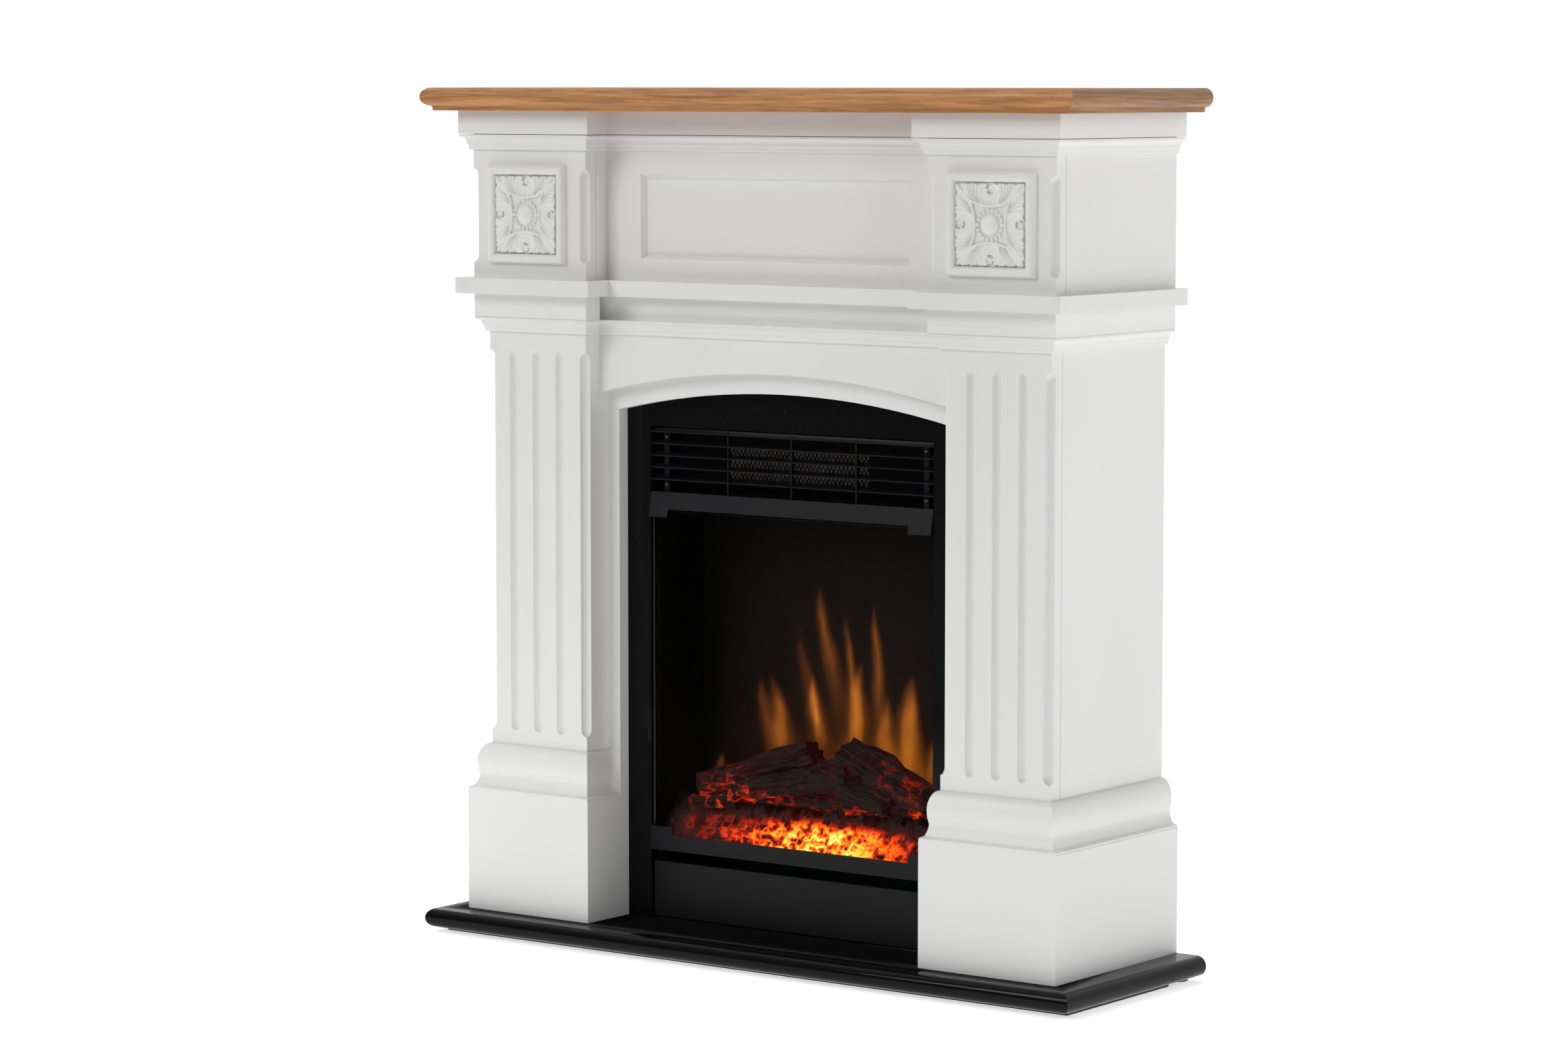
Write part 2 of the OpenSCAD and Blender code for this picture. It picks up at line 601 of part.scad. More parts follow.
oak_shelf();
shelf_front_lipping();
shelf_side_lipping(-1);  // shelf_left_lipping
shelf_side_lipping(1);  // shelf_right_lipping
fascia();
cornice_side(-1);  // cornice_left
cornice_centre();
cornice_side(1);  // cornice_right
capital(-1);  // capital_left
capital(1);  // capital_right
rosette_frame(-1);  // rosette_frame_left
rosette_frame(1);  // rosette_frame_right
rosette(-1);  // rosette_left
rosette(1);  // rosette_right
frieze_panel();
ledge_board();
neck_moulding_side(-1);  // neck_moulding_left
neck_moulding_centre();
neck_moulding_side(1);  // neck_moulding_right
pilaster_front(-1);  // pilaster_front_left
pilaster_front(1);  // pilaster_front_right
pilaster_outer(-1);  // pilaster_outer_left
pilaster_outer(1);  // pilaster_outer_right
pilaster_inner(-1);  // pilaster_inner_left
pilaster_inner(1);  // pilaster_inner_right
base_moulding(-1);  // base_moulding_left
base_moulding(1);  // base_moulding_right
plinth(-1);  // plinth_left
plinth(1);  // plinth_right
arch_panel();
arch_frame();
infill_top();
infill_side(-1);  // infill_left
infill_side(1);  // infill_right
hearth_slab();
hearth_base();
hearth_glides();
firebox_case();
firebox_back();
louvre_grille();
heater_guard();
grille_screws();
heater_element();
fan_housing();
fan_impeller();
fan_motor();
canopy_trim();
glass_pane();
lower_fret();
kick_panel();
log_set();
ember_bed();
flame_screen();
flame_spindle();
spindle_motor();
led_board();
switch_housing();
rocker(2);  // flame_switch
rocker(1);  // low_heat_switch
rocker(0);  // high_heat_switch
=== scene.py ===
"""Electric fireplace, front towards -Y: painted surround, oak shelf, gloss black hearth and lit insert."""
import math

import bmesh
import bpy
import numpy as np
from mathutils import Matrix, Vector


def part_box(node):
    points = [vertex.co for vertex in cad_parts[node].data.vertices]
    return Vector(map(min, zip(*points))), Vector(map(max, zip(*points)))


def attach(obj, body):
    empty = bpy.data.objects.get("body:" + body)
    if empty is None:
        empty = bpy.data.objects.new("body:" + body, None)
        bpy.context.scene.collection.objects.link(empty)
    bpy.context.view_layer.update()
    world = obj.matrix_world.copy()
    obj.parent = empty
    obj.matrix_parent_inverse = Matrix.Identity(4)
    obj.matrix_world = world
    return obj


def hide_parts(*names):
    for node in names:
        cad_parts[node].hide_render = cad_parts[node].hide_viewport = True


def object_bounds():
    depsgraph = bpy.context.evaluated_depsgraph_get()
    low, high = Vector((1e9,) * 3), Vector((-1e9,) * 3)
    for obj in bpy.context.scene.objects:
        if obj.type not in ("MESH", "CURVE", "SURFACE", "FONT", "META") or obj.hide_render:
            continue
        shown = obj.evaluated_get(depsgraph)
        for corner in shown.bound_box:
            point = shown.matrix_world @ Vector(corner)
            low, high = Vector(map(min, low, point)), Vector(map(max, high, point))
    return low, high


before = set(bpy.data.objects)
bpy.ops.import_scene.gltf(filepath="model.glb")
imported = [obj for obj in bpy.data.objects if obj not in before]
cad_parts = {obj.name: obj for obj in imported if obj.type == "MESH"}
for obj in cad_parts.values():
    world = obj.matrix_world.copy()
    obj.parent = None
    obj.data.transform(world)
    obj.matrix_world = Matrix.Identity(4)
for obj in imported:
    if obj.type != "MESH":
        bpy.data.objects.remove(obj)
cad_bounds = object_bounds()
BACK_Y = cad_bounds[1][1]
TOP_Z = cad_bounds[1][2]


# ---- Room and camera -------------------------------------------------------------------------------
# The floor glows pale round the fireplace and falls to grey from 1 m to 2 m in front of it. The room's
# light is bright behind and dim in front, so that the lacquer and the glass stay dark. A soft key lamp
# hangs front left and a weaker one on the right. The camera stands front right, level with the shelf.

class Wire:
    """A shader value: arithmetic on it adds Math nodes to its finish."""

    def __init__(self, finish, socket):
        self.finish, self.socket = finish, socket

    def math(self, operation, *others):
        """A Math node of that operation, with this value and the others on its inputs."""
        inputs = dict(enumerate((self,) + others))
        return self.finish.node("ShaderNodeMath", {"operation": operation}, inputs)

    def __add__(self, other):
        return self.math("ADD", other)

    def __radd__(self, other):
        return self.math("ADD", other)

    def __sub__(self, other):
        return self.math("SUBTRACT", other)

    def __rsub__(self, other):
        return self.math("MULTIPLY_ADD", -1.0, other)

    def __mul__(self, other):
        return self.math("MULTIPLY", other)

    def __rmul__(self, other):
        return self.math("MULTIPLY", other)

    def rise(self, low, high):
        """0 below low and 1 above high, with a smooth step between."""
        return self.finish.node("ShaderNodeMapRange", {"interpolation_type": "SMOOTHSTEP"},
                                {0: self, 1: low, 2: high, 3: 0.0, 4: 1.0})


class Finish:
    """One material, with its constant sockets set by name, to which nodes are added by the methods."""

    def __init__(self, name, **constants):
        self.material = bpy.data.materials.new(name)
        self.material.use_nodes = True
        self.tree = self.material.node_tree
        self.shader = self.tree.nodes["Principled BSDF"]
        for socket, value in constants.items():
            value = (*value, 1.0) if isinstance(value, tuple) else value
            self.shader.inputs[socket.replace("_", " ")].default_value = value

    def node(self, kind, settings, inputs, output=0):
        """Adds a node of that type, with its settings first and then its sockets' values or links."""
        made = self.tree.nodes.new(kind)
        for key, value in settings.items():
            if key == "stops":
                first, last = made.color_ramp.elements
                first.position, last.position = value[0][0], value[-1][0]
                first.color, last.color = (*value[0][1], 1.0), (*value[-1][1], 1.0)
                for place, colour in value[1:-1]:
                    made.color_ramp.elements.new(place).color = (*colour, 1.0)
            else:
                setattr(made, key, value)
        for key, value in inputs.items():
            if isinstance(value, Wire):
                self.tree.links.new(value.socket, made.inputs[key])
            elif made.inputs[key].type == "RGBA":
                made.inputs[key].default_value = (*value, 1.0)
            else:
                made.inputs[key].default_value = value
        return Wire(self, made.outputs[output])

    def place(self, scale=(1.0, 1.0, 1.0)):
        """Object coordinates in metres, multiplied by scale."""
        here = self.node("ShaderNodeTexCoord", {}, {}, "Object")
        return self.node("ShaderNodeMapping", {}, {"Vector": here, "Scale": scale})

    def axis(self, index):
        """One of the object's coordinates, in metres."""
        return self.node("ShaderNodeSeparateXYZ", {}, {0: self.place()}, index)

    def noise(self, scale, detail=3.0, roughness=0.55, distortion=0.0):
        """Noise from 0 to 1 with scale bumps per metre along each axis."""
        scale = scale if len(np.shape(scale)) else (scale,) * 3
        return self.node("ShaderNodeTexNoise", {}, {
            "Vector": self.place(scale), "Scale": 1.0, "Detail": detail, "Roughness": roughness,
            "Distortion": distortion})

    def attribute(self, name):
        """A number stored on the mesh under that name."""
        return self.node("ShaderNodeAttribute", {"attribute_name": name}, {}, "Fac")

    def ramp(self, value, stops):
        """Colours at the stops, blended in between."""
        return self.node("ShaderNodeValToRGB", {"stops": stops}, {0: value})

    def mix(self, factor, first, second):
        """The first colour where factor is 0 and the second where it is 1."""
        return self.node("ShaderNodeMix", {"data_type": "RGBA"}, {0: factor, 6: first, 7: second}, 2)

    def drive(self, **wires):
        """Links wires to the shader's sockets of those names."""
        for socket, wire in wires.items():
            self.tree.links.new(wire.socket, self.shader.inputs[socket.replace("_", " ")])
        return self

    def bump(self, height, depth):
        """Raises the surface by up to depth metres where height is 1."""
        return self.drive(Normal=self.node("ShaderNodeBump", {}, {
            "Strength": 1.0, "Distance": depth, "Height": height}))


def floor_sheet():
    """A flat square sheet just under the fireplace, pale near it and grey far out in front."""
    reach = 30.0
    sheet = bpy.data.meshes.new("floor")
    sheet.from_pydata([(x, y, -0.0005) for x, y in ((-reach, -reach), (reach, -reach), (reach, reach),
                                                    (-reach, reach))], [], [(0, 1, 2, 3)])
    floor = bpy.data.objects.new("floor", sheet)
    bpy.context.scene.collection.objects.link(floor)
    pale = Finish("pale_floor", Roughness=0.9, Specular_IOR_Level=0.0, Emission_Strength=0.62)
    nearness = pale.axis(1).rise(-2.0, -1.0)
    pale.drive(Base_Color=pale.mix(nearness, (0.34, 0.34, 0.34), (0.86, 0.86, 0.86)),
               Emission_Color=pale.mix(nearness, (0.03, 0.03, 0.03), (1.0, 1.0, 1.0)))
    floor.data.materials.append(pale.material)


def soft_lamp(name, place, target, size, watts):
    """A square area lamp of that size that faces its target."""
    lamp = bpy.data.objects.new(name, bpy.data.lights.new(name, "AREA"))
    lamp.data.size = size
    lamp.data.energy = watts
    lamp.location = place
    aim = np.subtract(target, place)
    lamp.rotation_euler = (math.pi / 2 + math.atan2(aim[2], math.hypot(aim[0], aim[1])), 0.0,
                           math.atan2(-aim[0], aim[1]))
    bpy.context.scene.collection.objects.link(lamp)


def set_camera(place, turn, tip, lens, shift):
    """Camera at place, turned left from +Y and tipped up by those degrees."""
    camera = bpy.data.objects.new("camera", bpy.data.cameras.new("camera"))
    camera.data.lens = lens
    camera.data.sensor_width = 36.0
    camera.data.shift_x, camera.data.shift_y = shift
    camera.data.clip_end = 100.0
    camera.location = place
    camera.rotation_euler = (math.radians(90.0 + tip), 0.0, math.radians(turn))
    bpy.context.scene.collection.objects.link(camera)
    bpy.context.scene.camera = camera


set_camera((3.4653, -4.7275, 1.0902), turn=36.586, tip=-5.346, lens=109.02, shift=(0.00496, 0.0005))
floor_sheet()
soft_lamp("key", (-1.9, -4.4, 3.6), (0.0, 0.0, 0.6), 2.6, 120.0)
soft_lamp("side", (4.6, -0.9, 2.6), (0.3, 0.0, 0.5), 2.6, 42.0)
behind = (-0.6, 0.8, 0.0)
dim, bright = 0.15, 1.04
world = bpy.data.worlds.new("white_room")
world.use_nodes = True
sky = world.node_tree.nodes
facing = sky.new("ShaderNodeVectorMath")
facing.operation = "DOT_PRODUCT"
facing.inputs[1].default_value = behind
spread = sky.new("ShaderNodeMapRange")
spread.interpolation_type = "SMOOTHSTEP"
for socket, value in ((1, -0.25), (2, 0.35), (3, dim), (4, bright)):
    spread.inputs[socket].default_value = value
wires = world.node_tree.links
wires.new(sky.new("ShaderNodeTexCoord").outputs["Generated"], facing.inputs[0])
wires.new(facing.outputs["Value"], spread.inputs[0])
wires.new(spread.outputs[0], sky["Background"].inputs["Strength"])
sky["Background"].inputs["Color"].default_value = (1.0, 1.0, 1.0, 1.0)
bpy.context.scene.world = world
bpy.context.scene.view_settings.view_transform = "Standard"


# ---- Painted boards --------------------------------------------------------------------------------
# The surround is fibreboard sprayed with satin white paint: flat boards butted together, with fluted
# pilaster fronts. The spray leaves a very fine orange peel and the tone drifts a little over a board.

def paint_finish(name, colour, sheen):
    """Satin paint: fine orange peel, and tone and sheen that drift slowly."""
    coat = Finish(name, Roughness=sheen, IOR=1.5)
    drift = coat.noise((3.0, 3.0, 1.2), detail=2.0)
    deeper = tuple(0.955 * c for c in colour)
    coat.drive(Base_Color=coat.mix(drift.rise(0.35, 0.7), colour, deeper),
               Roughness=coat.noise(9.0) * 0.12 + (sheen - 0.06))
    return coat.bump(coat.noise(420.0, detail=1.0) * 0.7 + coat.noise(60.0) * 0.3, 0.00012)


def dress(finish, *nodes):
    """Gives CAD nodes that finish."""
    for node in nodes:
        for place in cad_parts[node].material_slots:
            place.material = finish.material


white_paint = paint_finish("satin_white_paint", (0.82, 0.82, 0.815), 0.4)
dress(white_paint, "fascia", "capital_left", "capital_right", "frieze_panel", "ledge_board",
      "pilaster_front_left", "pilaster_front_right", "pilaster_outer_left", "pilaster_outer_right",
      "pilaster_inner_left", "pilaster_inner_right", "plinth_left", "plinth_right", "arch_panel",
      "arch_frame")


# ---- Mouldings of the surround ---------------------------------------------------------------------
# Machined fibreboard strips, mitred round each pilaster and along the middle and painted with it: a
# cornice under the fascia, the same small moulding at the neck, and a tall flared one on the plinth.

def solid(name, points, faces, finish, crease=28.0, body="surround"):
    """A closed mesh from arrays, merged at its poles, faces outwards, sharp only past the crease angle."""
    mesh = bpy.data.meshes.new(name)
    mesh.from_pydata(np.asarray(points, float).reshape(-1, 3).tolist(), [], [list(f) for f in faces])
    form = bmesh.new()
    form.from_mesh(mesh)
    bmesh.ops.remove_doubles(form, verts=form.verts, dist=1e-6)
    bmesh.ops.recalc_face_normals(form, faces=form.faces)
    form.to_mesh(mesh)
    form.free()
    mesh.polygons.foreach_set("use_smooth", np.ones(len(mesh.polygons), bool))
    mesh.set_sharp_from_angle(angle=math.radians(crease))
    mesh.materials.append(finish.material)
    piece = bpy.data.objects.new(name, mesh)
    bpy.context.scene.collection.objects.link(piece)
    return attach(piece, body)


def carried(profile, stops, offsets, up, ring=False):
    """Profile points (out, high) carried along stops: point = stop + out * offset + high * up."""
    out, high = np.asarray(profile, float).T
    stops, offsets = np.asarray(stops, float), np.asarray(offsets, float)
    points = stops[:, None] + out[None, :, None] * offsets[:, None]
    points = points + high[None, :, None] * np.asarray(up, float)
    n, m = points.shape[:2]
    legs = n if ring else n - 1
    i, j = (a.ravel() for a in np.meshgrid(np.arange(legs), np.arange(m), indexing="ij"))
    i2, j2 = (i + 1) % n, (j + 1) % m
    faces = np.stack([i * m + j, i2 * m + j, i2 * m + j2, i * m + j2], 1).tolist()
    if not ring:
        faces += [list(range(m)), [(n - 1) * m + k for k in range(m)]]
    return points.reshape(-1, 3), faces


def joined(*shapes):
    """Several (points, faces) pairs as one."""
    points, faces = [], []
    for some, theirs in shapes:
        start = sum(len(p) for p in points)
        points.append(np.asarray(some, float))
        faces += [[start + k for k in face] for face in theirs]
    return np.concatenate(points), faces


def bed_profile(high, out):
    """Leaning foot band, a quirk, a quarter hollow out to the fillet: out rises as 1 - cos, high as sin."""
    t = np.linspace(0.0, math.pi / 2, 14)
    hollow = np.stack([0.48 * out + (0.44 * out) * (1 - np.cos(t)), high * (0.44 + 0.42 * np.sin(t))], 1)
    foot = [(0, 0), (0.24 * out, 0), (0.3 * out, 0.04 * high), (0.34 * out, 0.3 * high),
            (0.4 * out, 0.35 * high), (0.47 * out, 0.36 * high)]
    return np.array(foot + hollow.tolist() + [(out, 0.88 * high), (out, high), (0, high)])


def base_profile(high, out):
    """Flared foot, hollow neck and a swelling that turns in to the pilaster on a quarter ellipse."""
    t = np.linspace(0.0, math.pi / 2, 18)
    flare = np.stack([out * (0.52 + 0.19 * (1 - np.sin(t))), high * (0.095 + 0.235 * t / t[-1])], 1)
    swell = np.stack([out * (0.52 + 0.107 * np.sin(t)), high * (0.33 + 0.27 * t / t[-1])], 1)[1:]
    turn = np.stack([out * 0.627 * np.cos(t), high * (0.6 + 0.4 * np.sin(t))], 1)[1:]
    foot = [(0, 0), (out, 0), (out * 0.99, high * 0.05), (out * 0.875, high * 0.069)]
    return np.array(foot + flare.tolist() + swell.tolist() + turn.tolist())


def round_pilaster(core, inner_y, z, mitred, in_out=(1.0, 1.0)):
    """Stops and offsets round one pilaster, from its outer back corner to where its inner return ends."""
    x_in, x_out, front = core
    grow_in, grow_out = in_out
    stops = [(x_out, BACK_Y, z), (x_out, front, z), (x_in, front, z), (x_in, inner_y, z)]
    last = (-grow_in, -1 if mitred else 0, 0)
    return stops, [(grow_out, 0, 0), (grow_out, -1, 0), (-grow_in, -1, 0), last]


leg_low, leg_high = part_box("pilaster_front_right")
cap_low, cap_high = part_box("capital_right")
leg_core, cap_core = (leg_low.x, leg_high.x, leg_low.y), (cap_low.x, cap_high.x, cap_low.y)
frieze_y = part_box("frieze_panel")[0].y
jamb_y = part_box("arch_frame")[0].y
UP = (0, 0, 1)


def both_sides(name, shape):
    """The right piece and its mirror image, each standing for its own node."""
    for side, factor in (("left", (-1, 1, 1)), ("right", (1, 1, 1))):
        piece = solid(f"{name}_{side}_cut", shape[0] * np.array(factor), shape[1], white_paint)
        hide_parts(f"{name}_{side}")


def middle_strip(name, profile, x_in, z, grow):
    """The straight run between two pilasters, mitred into their returns."""
    stops = [(-x_in, frieze_y, z), (x_in, frieze_y, z)]
    shape = carried(profile, stops, [(grow, -1, 0), (-grow, -1, 0)], UP)
    piece = solid(name + "_cut", *shape, white_paint)
    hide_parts(name)


cornice_low, cornice_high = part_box("cornice_centre")
cornice = bed_profile(cornice_high.z - cornice_low.z - 0.0008, frieze_y - cornice_low.y)
both_sides("cornice", carried(cornice, *round_pilaster(cap_core, frieze_y, cornice_low.z, True), UP))
middle_strip("cornice_centre", cornice, cap_core[0], cornice_low.z, 1.0)

neck_low, neck_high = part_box("neck_moulding_centre")
neck_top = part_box("neck_moulding_right")[1].z
neck_out = frieze_y - neck_low.y
neck = bed_profile(neck_high.z - neck_low.z, neck_out)
band = [(neck_out - 0.0007, neck[-1, 1]), (neck_out - 0.0007, neck[-1, 1] + 0.0007),
        (neck_out, neck[-1, 1] + 0.0007), (neck_out, neck_top - neck_low.z), (0, neck_top - neck_low.z)]
tall_neck = np.concatenate([neck[:-1], band])
neck_run = round_pilaster(leg_core, frieze_y, neck_low.z, True, (0.87, 1.07))
both_sides("neck_moulding", carried(tall_neck, *neck_run, UP))
middle_strip("neck_moulding_centre", neck, leg_core[0], neck_low.z, 0.87)

foot_low, foot_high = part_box("base_moulding_right")
base = base_profile(foot_high.z - foot_low.z, leg_low.y - foot_low.y)
foot_run = round_pilaster(leg_core, jamb_y, foot_low.z, False, (0.81, 1.08))
both_sides("base_moulding", carried(base, *foot_run, UP))


# ---- Rosettes on the capitals ----------------------------------------------------------------------
# Each is a cast resin tile, painted with the surround: a boss in a ring of beads, on a field with four
# hollow sides, and a scroll with fanned ribs on every side. A rounded frame is planted round the tile.

def rosette_height(u, v):
    """Height in metres over the square -1..1, the highest of dome, beads, rims, ribs and bowls."""
    span = np.hypot(u, v)
    dome = 0.0075 * np.sqrt(np.clip(1 - (span / 0.255) ** 2, 0, 1))
    turn = np.arctan2(v, u)
    step = math.tau / 18
    bead_turn = (np.round(turn / step)) * step
    bead_gap = np.hypot(u - 0.36 * np.cos(bead_turn), v - 0.36 * np.sin(bead_turn))
    beads = 0.0048 * np.sqrt(np.clip(1 - (bead_gap / 0.052) ** 2, 0, 1))
    height = 0.0030 + np.maximum(dome, beads)
    for a, b in ((u, v), (v, -u), (-u, -v), (-v, u)):
        s = b - 0.44
        fan = np.where(s > 1e-3, (a * a + s * s) / (2 * np.maximum(s, 1e-3)), 9.0)
        lobe = s - 0.44 * a * a > 0
        ribs = 0.0052 + 0.0022 * np.abs(np.sin(np.pi * (fan - 0.36) / 0.095)) ** 0.7
        bowl = 0.0040 + 0.0030 * (np.clip(fan, 0, 0.36) / 0.36) ** 2
        bowl += 0.0012 * np.clip(1 - np.abs(fan - 0.30) / 0.05, 0, 1)
        inside = np.where(fan < 0.36, bowl, ribs)
        inside = np.where(fan > 0.75, 0.0056 + 0.0012 * np.cos(9 * (a - b)), inside)
        hook = np.hypot(a - 0.02, b - 0.86)
        cut = (np.abs(hook - 0.115) < 0.026) & (np.arctan2(b - 0.86, a - 0.02) * 1.0 > -2.6) & (a < 0.07)
        inside = np.where(cut, 0.0008, inside)
        inside = np.where((hook < 0.09) & (b > 0.8), 0.0034, inside)
        height = np.where(lobe & (s > 0) & (np.abs(a) <= b + 0.02), inside, height)
        rim = np.abs(b - (0.44 + 0.40 * a * a))
        height = np.where((rim < 0.035) & (np.abs(a) < 0.80) & (np.abs(a) <= b + 0.06),
                          np.maximum(height, 0.0074 - 0.0016 * (rim / 0.035) ** 2), height)
    edge = np.maximum(np.abs(u), np.abs(v))
    along = np.where(np.abs(u) > np.abs(v), v, u)
    ragged = 0.972 + 0.012 * np.sin(along * 23) + 0.008 * np.sin(along * 47 + 1)
    return 0.0020 + 0.72 * np.where(edge > ragged, 0.0012, height)


def backed(grid, under):
    """A grid of points (n, m, 3) closed at the back: walls from its rim to under(rim), and one face."""
    index = np.arange(grid.shape[0] * grid.shape[1]).reshape(grid.shape[:2])
    rim = np.concatenate([index[:-1, 0], index[-1, :-1], index[:0:-1, -1], index[0, :0:-1]])
    low = index.size + np.arange(len(rim))
    quads = np.stack([index[:-1, :-1], index[1:, :-1], index[1:, 1:], index[:-1, 1:]], -1)
    walls = np.stack([rim, np.roll(rim, -1), np.roll(low, -1), low], 1)
    top = grid.reshape(-1, 3)
    faces = quads.reshape(-1, 4).tolist() + walls.tolist() + [low.tolist()]
    return np.concatenate([top, under(top[rim])]), faces


def relief(half, height, count):
    """A square raised by height(u, v) over a flat back, as (along u, along v, height)."""
    line = np.linspace(-1, 1, count)
    u, v = np.meshgrid(line, line, indexing="ij")
    return backed(np.stack([u * half, v * half, height(u, v)], -1), lambda rim: rim * (1, 1, 0))


cast_paint = paint_finish("painted_casting", (0.83, 0.83, 0.825), 0.38)
tile_low, tile_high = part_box("rosette_right")
tile_half = (tile_high.x - tile_low.x) / 2
tile_mid = np.array([(tile_low.x + tile_high.x) / 2, tile_high.y, (tile_low.z + tile_high.z) / 2])
tile_points, tile_faces = relief(tile_half, rosette_height, 150)
frame_low, frame_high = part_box("rosette_frame_right")
frame_w = (frame_high.x - frame_low.x) / 2 - tile_half
frame_t = frame_high.y - frame_low.y
across = np.linspace(-1, 1, 17)
bead = [(frame_w * (0.5 + 0.5 * t), frame_t * (0.12 + 0.88 * (1 - abs(t) ** 2.8) ** 0.6)) for t in across]
bead = [(0, 0)] + bead + [(frame_w, 0)]
corners = [(a, 0, b) for a, b in ((-1, -1), (1, -1), (1, 1), (-1, 1))]
for side in (-1, 1):
    word = "left" if side < 0 else "right"
    middle = tile_mid * (side, 1, 1)
    stood_up = middle + tile_points[:, [0, 2, 1]] * (1, -1, 1)
    tile = solid(f"rosette_{word}_cast", stood_up, tile_faces, cast_paint, crease=50.0)
    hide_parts(f"rosette_{word}")
    stops = [middle + tile_half * np.array(c) for c in corners]
    trim_shape = carried(bead, stops, corners, (0, -1, 0), ring=True)
    trim = solid(f"rosette_frame_{word}_cut", *trim_shape, white_paint)
    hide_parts(f"rosette_frame_{word}")


# ---- Oak shelf -------------------------------------------------------------------------------------
# An oak veneered panel inside three solid oak lippings, mitred at the front corners and run along the
# grain, with a round nose and a small hollow under it. Satin lacquer over open pores.

def oak_finish(name, run, tone):
    """Grain stretched along run: broad cathedral bands, fine dark pores and a slow drift of tone."""
    wood = Finish(name, Roughness=0.42, IOR=1.5, Coat_Weight=0.12, Coat_Roughness=0.3)
    along = [3.0 if a == run else 60.0 for a in range(3)]
    pores = [75.0 if a == run else 900.0 for a in range(3)]
    streaks = [14.0 if a == run else 330.0 for a in range(3)]
    bands = wood.noise(along, detail=3.0, roughness=0.5, distortion=1.1)
    rings = ((bands * 26.0).math("SINE") * 0.5 + 0.5)
    streak = wood.noise(streaks, detail=4.0, roughness=0.6)
    pore = wood.noise(pores, detail=2.0).rise(0.60, 0.74)
    light, mid, dark = (tuple(tone * c for c in k) for k in ((0.60, 0.275, 0.075), (0.47, 0.195, 0.046),
                                                             (0.29, 0.108, 0.026)))
    ground = wood.ramp(rings * 0.20 + streak * 0.80, ((0.30, light), (0.50, mid), (0.72, dark)))
    wood.drive(Base_Color=wood.mix(pore * 0.55, ground, (0.12 * tone, 0.05 * tone, 0.016 * tone)),
               Roughness=streak * 0.18 + 0.34)
    return wood.bump(1.0 - pore * 0.7 - streak * 0.3, 0.00015)


def lipping_profile(thick, wide):
    """Section from the underside out: foot set in, a small hollow, then a half circle nose to the top."""
    nose = 0.4 * thick
    t = np.linspace(-0.47 * math.pi, 0.5 * math.pi, 26)
    curve = np.stack([-nose + nose * np.cos(t), thick - nose + nose * np.sin(t)], 1)
    dip = np.linspace(0, math.pi / 2, 6)
    step = np.stack([-0.0118 + 0.0020 * (1 - np.cos(dip)), 0.0032 + 0.0028 * np.sin(dip)], 1)
    foot = [(-wide, 0), (-0.0125, 0), (-0.0118, 0.0006)]
    top = [(-wide + 0.0004, thick), (-wide, thick - 0.0006)]
    return np.array(foot + step.tolist() + curve.tolist() + top)


lip_low, lip_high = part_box("shelf_front_lipping")
lip_w = lip_high.y - lip_low.y
lip = lipping_profile(TOP_Z - lip_low.z, lip_w)
oak_across = oak_finish("oak_along_the_shelf", 0, 1.0)
# The end lippings are the same oak at 0.70 of the tone, which is painted shade on the ends; their grain runs
# along Y.
shaded_oak_ends = oak_finish("oak_of_the_ends_painted_darker", 1, 0.70)
dress(oak_across, "oak_shelf")
half = lip_high.x
front_left, front_right = (-half, lip_low.y, lip_low.z), (half, lip_low.y, lip_low.z)
back_left, back_right = (-half, BACK_Y, lip_low.z), (half, BACK_Y, lip_low.z)
strips = {"front": ([front_left, front_right], [(-1, -1, 0), (1, -1, 0)]),
          "left": ([back_left, front_left], [(-1, 0, 0), (-1, -1, 0)]),
          "right": ([back_right, front_right], [(1, 0, 0), (1, -1, 0)])}
for word, (stops, offsets) in strips.items():
    strip = solid(f"shelf_{word}_nosing", *carried(lip, stops, offsets, UP),
                  oak_across if word == "front" else shaded_oak_ends)
    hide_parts(f"shelf_{word}_lipping")


# ---- Hearth ----------------------------------------------------------------------------------------
# A thick board in high gloss black lacquer with a full round nose on the front and both ends, on a low
# black base and two turned wooden glides. Lacquer picks up specks of dust and faint wipe marks.

def lacquer_finish(name):
    """Deep gloss black with faint smears and scattered pale dust."""
    # Real lacquer is about 1.5. The low index keeps the reflected room off the black.
    gloss = Finish(name, Roughness=0.07, IOR=1.22)
    dust = gloss.noise(260.0, detail=1.0).rise(0.74, 0.80) * gloss.noise(7.0).rise(0.45, 0.7)
    smear = gloss.noise((5.0, 22.0, 5.0), detail=4.0).rise(0.35, 0.8)
    gloss.drive(Base_Color=gloss.mix(dust * 0.35, (0.0035, 0.0035, 0.004), (0.16, 0.16, 0.155)),
                Roughness=smear * 0.05 + 0.04 + dust * 0.3)
    return gloss.bump(gloss.noise(28.0, detail=1.0), 0.00010)


black_lacquer = lacquer_finish("gloss_black_lacquer")
slab_low, slab_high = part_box("hearth_slab")
slab_t = slab_high.z - slab_low.z
edge_w = 0.06
t = np.linspace(-math.pi / 2, math.pi / 2, 25)
nose = np.stack([slab_t / 2 * (np.cos(t) - 1), slab_t / 2 * (1 + np.sin(t))], 1)
nose = np.concatenate([[(-edge_w, 0)], nose, [(-edge_w, slab_t)]])
x, y, z = slab_high.x, slab_low.y, slab_low.z
rim = carried(nose, [(-x, BACK_Y, z), (-x, y, z), (x, y, z), (x, BACK_Y, z)],
              [(-1, 0, 0), (-1, -1, 0), (1, -1, 0), (1, 0, 0)], UP)
field = carried([(-x + edge_w, 0), (x - edge_w, 0), (x - edge_w, slab_t), (-x + edge_w, slab_t)],
                [(0, y + edge_w, z), (0, BACK_Y, z)], [(1, 0, 0), (1, 0, 0)], UP)
slab = solid("hearth_slab_lacquered", *joined(rim, field), black_lacquer)
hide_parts("hearth_slab")
dress(black_lacquer, "infill_top", "infill_left", "infill_right")

